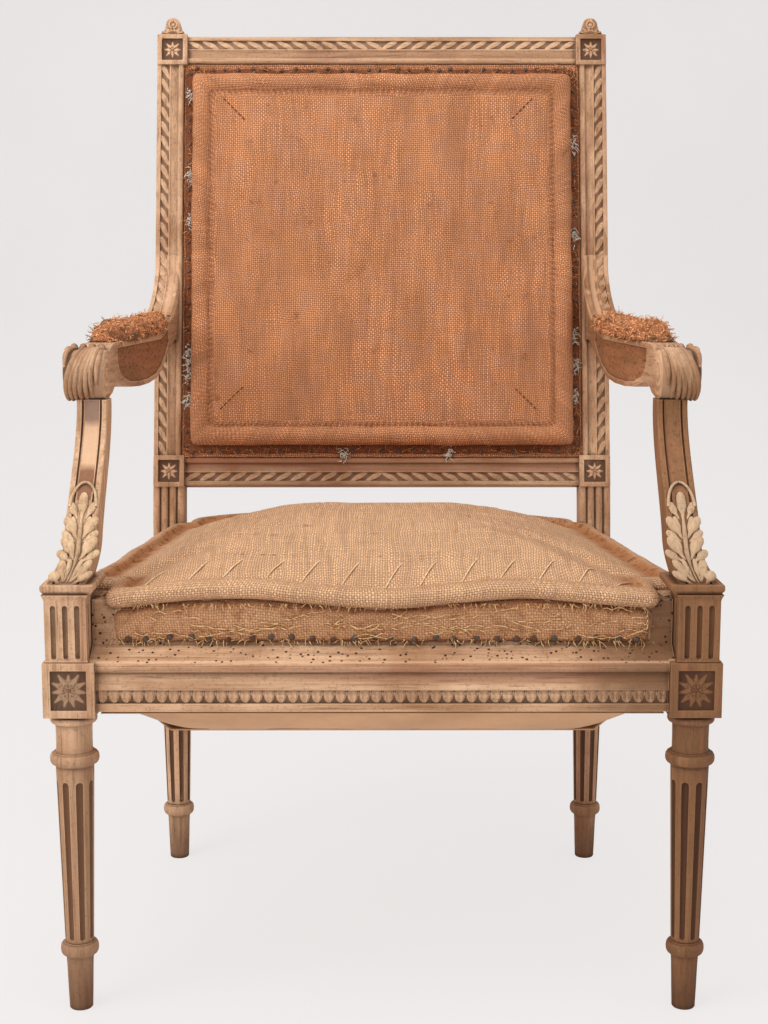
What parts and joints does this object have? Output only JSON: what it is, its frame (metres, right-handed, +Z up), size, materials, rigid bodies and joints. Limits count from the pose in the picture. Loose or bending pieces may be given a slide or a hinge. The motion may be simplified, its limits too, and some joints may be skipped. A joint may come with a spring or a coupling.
{
  "type": "fauteuil",
  "caption": "Carved beech open armchair with a square reclining back, scrolled arms and fluted legs, stripped to its burlap upholstery.",
  "frame": {"origin": "on the floor under the middle of the chair's box", "axes": "+X to the sitter's left, which is the viewer's right from the front; +Y from the front of the seat to the back; +Z up"},
  "size_m": [0.64, 0.605, 1.0217],
  "materials": {
    "beech_frame": "bleached, bare, worn",
    "inner_wood": "bare, sawn",
    "seat_burlap": "coarse open weave",
    "back_burlap": "coarse open weave",
    "pad_burlap": "torn, frayed",
    "hair_stuffing": "loose fibre",
    "jute_webbing": "woven strap",
    "dust_cloth": "plain weave",
    "spring_steel": "dull, rusted"
  },
  "bodies": {
    "root": {"front_leg_left": "beech_frame", "front_leg_right": "beech_frame", "back_leg_left": "beech_frame", "back_leg_right": "beech_frame", "front_seat_rail": "beech_frame", "left_seat_rail": "beech_frame", "right_seat_rail": "beech_frame", "back_seat_rail": "beech_frame", "front_corner_block_left": "inner_wood", "front_corner_block_right": "inner_wood", "back_corner_block_left": "inner_wood", "back_corner_block_right": "inner_wood", "back_top_rail": "beech_frame", "back_bottom_rail": "beech_frame", "left_arm_support": "beech_frame", "right_arm_support": "beech_frame", "left_support_dowel": "inner_wood", "right_support_dowel": "inner_wood", "left_arm": "beech_frame", "right_arm": "beech_frame", "left_arm_screw": "spring_steel", "right_arm_screw": "spring_steel", "seat_web_long_1": "jute_webbing", "seat_web_long_2": "jute_webbing", "seat_web_long_3": "jute_webbing", "seat_web_cross_1": "jute_webbing", "seat_web_cross_2": "jute_webbing", "seat_web_cross_3": "jute_webbing", "seat_spring_1": "spring_steel", "seat_spring_2": "spring_steel", "seat_spring_3": "spring_steel", "seat_spring_4": "spring_steel", "seat_spring_5": "spring_steel", "seat_spring_6": "spring_steel", "seat_spring_7": "spring_steel", "seat_spring_8": "spring_steel", "seat_spring_9": "spring_steel", "spring_twine": "jute_webbing", "spring_burlap": "seat_burlap", "seat_stuffing": "hair_stuffing", "seat_burlap_cover": "seat_burlap", "dust_cover": "dust_cloth", "back_web_upright_1": "jute_webbing", "back_web_upright_2": "jute_webbing", "back_web_upright_3": "jute_webbing", "back_web_cross_1": "jute_webbing", "back_web_cross_2": "jute_webbing", "back_web_cross_3": "jute_webbing", "back_spring_burlap": "back_burlap", "back_stuffing": "hair_stuffing", "back_burlap_cover": "back_burlap", "left_arm_stuffing": "hair_stuffing", "right_arm_stuffing": "hair_stuffing", "left_arm_burlap": "pad_burlap", "right_arm_burlap": "pad_burlap"}
  },
  "joints": []
}
